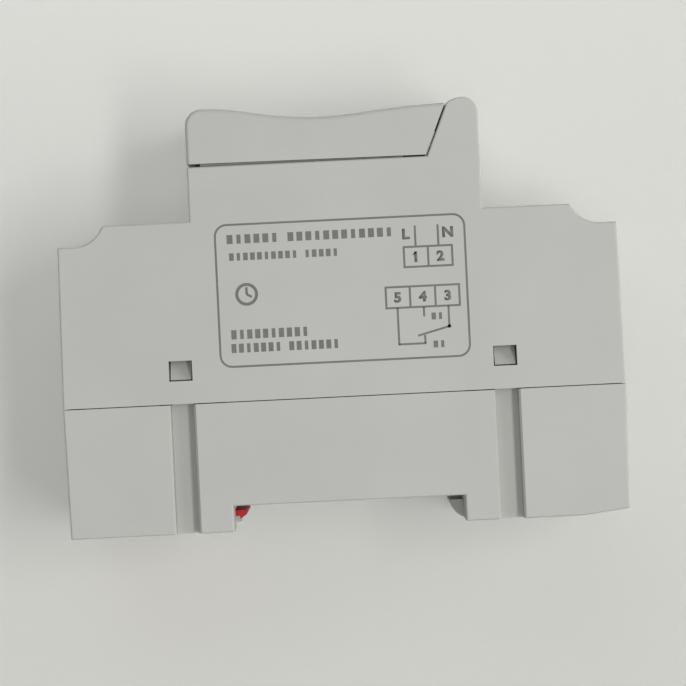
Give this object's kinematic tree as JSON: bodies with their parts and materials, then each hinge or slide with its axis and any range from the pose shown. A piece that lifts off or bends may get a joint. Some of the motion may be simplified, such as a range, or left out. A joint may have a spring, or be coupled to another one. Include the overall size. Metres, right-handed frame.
{
  "type": "din rail timer",
  "caption": "Two-module electronic time switch for a 35 mm rail: snap-together grey housing, hinged lid over display and keys, screw terminals and a sprung rail clip.",
  "frame": {"origin": "centre of the rail seat, midway across the two modules", "axes": "+X along the housing towards the end with the fixed hook, +Y away from the rail towards the lid, +Z across the modules towards the printed side"},
  "size_m": [0.0864, 0.0649, 0.036],
  "materials": {
    "housing_grey": "fine-textured light grey",
    "clear_plastic": "clear",
    "panel_plastic": "satin grey",
    "display_glass": "grey-green display",
    "white_plastic": "matt",
    "contact_rubber": "matt",
    "circuit_board": "green solder mask",
    "black_plastic": "matt",
    "led_red": "translucent",
    "plated_steel": "zinc plated",
    "brass": "plain",
    "relay_plastic": "satin blue",
    "copper_winding": "enamelled copper wire",
    "copper_alloy": "plain",
    "yellow_plastic": "satin",
    "capacitor_sleeve": "shrink sleeve",
    "blue_ceramic": "dipped coating",
    "resistor_tan": "lacquer",
    "clip_red": "satin red",
    "spring_steel": "bright wire",
    "key_grey": "satin",
    "key_dark": "satin"
  },
  "bodies": {
    "housing": {"base_housing": "housing_grey", "front_housing": "housing_grey", "front_panel": "panel_plastic", "display_lens": "clear_plastic", "lcd_cell": "display_glass", "lcd_diffuser": "white_plastic", "zebra_strips": "contact_rubber", "display_board": "circuit_board", "key_switches": "black_plastic", "status_led": "led_red", "controller_chip": "black_plastic", "quartz_crystal": "plated_steel", "backup_battery": "plated_steel", "battery_tabs": "plated_steel", "board_link_pins": "brass", "power_board": "circuit_board", "relay_base": "black_plastic", "relay_case": "relay_plastic", "relay_coil": "copper_winding", "relay_yoke": "plated_steel", "relay_contact_closed": "copper_alloy", "relay_contact_open": "copper_alloy", "dropper_capacitor": "yellow_plastic", "smoothing_capacitor": "capacitor_sleeve", "varistor": "blue_ceramic", "rectifier_diodes": "black_plastic", "power_resistors": "resistor_tan", "contact_bar_1": "brass", "contact_bar_2": "brass", "contact_bar_3": "brass", "contact_bar_4": "brass", "contact_bar_5": "brass", "clip_spring": "spring_steel"},
    "lid": {"flip_lid": "housing_grey", "lid_window": "clear_plastic"},
    "rail_clip": {"din_clip": "clip_red"},
    "armature": {"relay_armature": "plated_steel", "relay_blade": "copper_alloy"},
    "key_program": {"key_program": "key_grey"},
    "key_day": {"key_day": "key_grey"},
    "key_hour": {"key_hour": "key_grey"},
    "key_minute": {"key_minute": "key_grey"},
    "key_manual": {"key_manual": "key_dark"},
    "key_clock": {"key_clock": "key_grey"},
    "key_reset": {"key_reset": "key_dark"},
    "terminal_screw_1": {"terminal_screw_1": "plated_steel"},
    "terminal_screw_2": {"terminal_screw_2": "plated_steel"},
    "terminal_screw_3": {"terminal_screw_3": "plated_steel"},
    "terminal_screw_4": {"terminal_screw_4": "plated_steel"},
    "terminal_screw_5": {"terminal_screw_5": "plated_steel"},
    "clamp_cage_1": {"clamp_cage_1": "plated_steel"},
    "clamp_cage_2": {"clamp_cage_2": "plated_steel"},
    "clamp_cage_3": {"clamp_cage_3": "plated_steel"},
    "clamp_cage_4": {"clamp_cage_4": "plated_steel"},
    "clamp_cage_5": {"clamp_cage_5": "plated_steel"}
  },
  "joints": [
    {"name": "lid_hinge", "type": "hinge", "parent": "housing", "child": "lid", "pos_m": [0.0195, 0.0593, 0], "axis": [0, 0, -1], "range_deg": [0, 108]},
    {"name": "clip_slide", "type": "slide", "parent": "housing", "child": "rail_clip", "axis": [-1, 0, 0], "range_m": [0, 0.003], "stiffness_N_per_m": 1500, "springref_m": -0.001, "deforming": ["clip_spring"]},
    {"name": "armature_hinge", "type": "hinge", "parent": "housing", "child": "armature", "pos_m": [0, 0.0276, 0.0109], "axis": [-1, 0, 0], "range_deg": [0, 2.4], "stiffness_Nm_per_rad": 0.05, "springref_deg": -1.15},
    {"name": "key_program_press", "type": "slide", "parent": "housing", "child": "key_program", "axis": [0, -1, 0], "range_m": [0, 0.0004], "stiffness_N_per_m": 800, "springref_m": -0.0003},
    {"name": "key_day_press", "type": "slide", "parent": "housing", "child": "key_day", "axis": [0, -1, 0], "range_m": [0, 0.0004], "stiffness_N_per_m": 800, "springref_m": -0.0003},
    {"name": "key_hour_press", "type": "slide", "parent": "housing", "child": "key_hour", "axis": [0, -1, 0], "range_m": [0, 0.0004], "stiffness_N_per_m": 800, "springref_m": -0.0003},
    {"name": "key_minute_press", "type": "slide", "parent": "housing", "child": "key_minute", "axis": [0, -1, 0], "range_m": [0, 0.0004], "stiffness_N_per_m": 800, "springref_m": -0.0003},
    {"name": "key_manual_press", "type": "slide", "parent": "housing", "child": "key_manual", "axis": [0, -1, 0], "range_m": [0, 0.0004], "stiffness_N_per_m": 800, "springref_m": -0.0003},
    {"name": "key_clock_press", "type": "slide", "parent": "housing", "child": "key_clock", "axis": [0, -1, 0], "range_m": [0, 0.0004], "stiffness_N_per_m": 800, "springref_m": -0.0003},
    {"name": "key_reset_press", "type": "slide", "parent": "housing", "child": "key_reset", "axis": [0, -1, 0], "range_m": [0, 0.0004], "stiffness_N_per_m": 800, "springref_m": -0.0003},
    {"name": "screw_1_turn", "type": "hinge", "parent": "housing", "child": "terminal_screw_1", "pos_m": [0.03388, 0.035, -0.00751], "axis": [0, -1, 0], "range_deg": [0, 2880.5]},
    {"name": "cage_1_rise", "type": "slide", "parent": "housing", "child": "clamp_cage_1", "axis": [0, 1, 0], "range_m": [0, 0.0056]},
    {"name": "screw_2_turn", "type": "hinge", "parent": "housing", "child": "terminal_screw_2", "pos_m": [0.03388, 0.035, 0.00751], "axis": [0, -1, 0], "range_deg": [0, 2880.5]},
    {"name": "cage_2_rise", "type": "slide", "parent": "housing", "child": "clamp_cage_2", "axis": [0, 1, 0], "range_m": [0, 0.0056]},
    {"name": "screw_3_turn", "type": "hinge", "parent": "housing", "child": "terminal_screw_3", "pos_m": [-0.03388, 0.035, 0.01127], "axis": [0, -1, 0], "range_deg": [0, 2880.5]},
    {"name": "cage_3_rise", "type": "slide", "parent": "housing", "child": "clamp_cage_3", "axis": [0, 1, 0], "range_m": [0, 0.0056]},
    {"name": "screw_4_turn", "type": "hinge", "parent": "housing", "child": "terminal_screw_4", "pos_m": [-0.03388, 0.035, 0], "axis": [0, -1, 0], "range_deg": [0, 2880.5]},
    {"name": "cage_4_rise", "type": "slide", "parent": "housing", "child": "clamp_cage_4", "axis": [0, 1, 0], "range_m": [0, 0.0056]},
    {"name": "screw_5_turn", "type": "hinge", "parent": "housing", "child": "terminal_screw_5", "pos_m": [-0.03388, 0.035, -0.01127], "axis": [0, -1, 0], "range_deg": [0, 2880.5]},
    {"name": "cage_5_rise", "type": "slide", "parent": "housing", "child": "clamp_cage_5", "axis": [0, 1, 0], "range_m": [0, 0.0056]}
  ],
  "couplings": [
    {"joint": "screw_1_turn", "follows": "cage_1_rise", "rad_per_m": 8976},
    {"joint": "screw_2_turn", "follows": "cage_2_rise", "rad_per_m": 8976},
    {"joint": "screw_3_turn", "follows": "cage_3_rise", "rad_per_m": 8976},
    {"joint": "screw_4_turn", "follows": "cage_4_rise", "rad_per_m": 8976},
    {"joint": "screw_5_turn", "follows": "cage_5_rise", "rad_per_m": 8976}
  ]
}
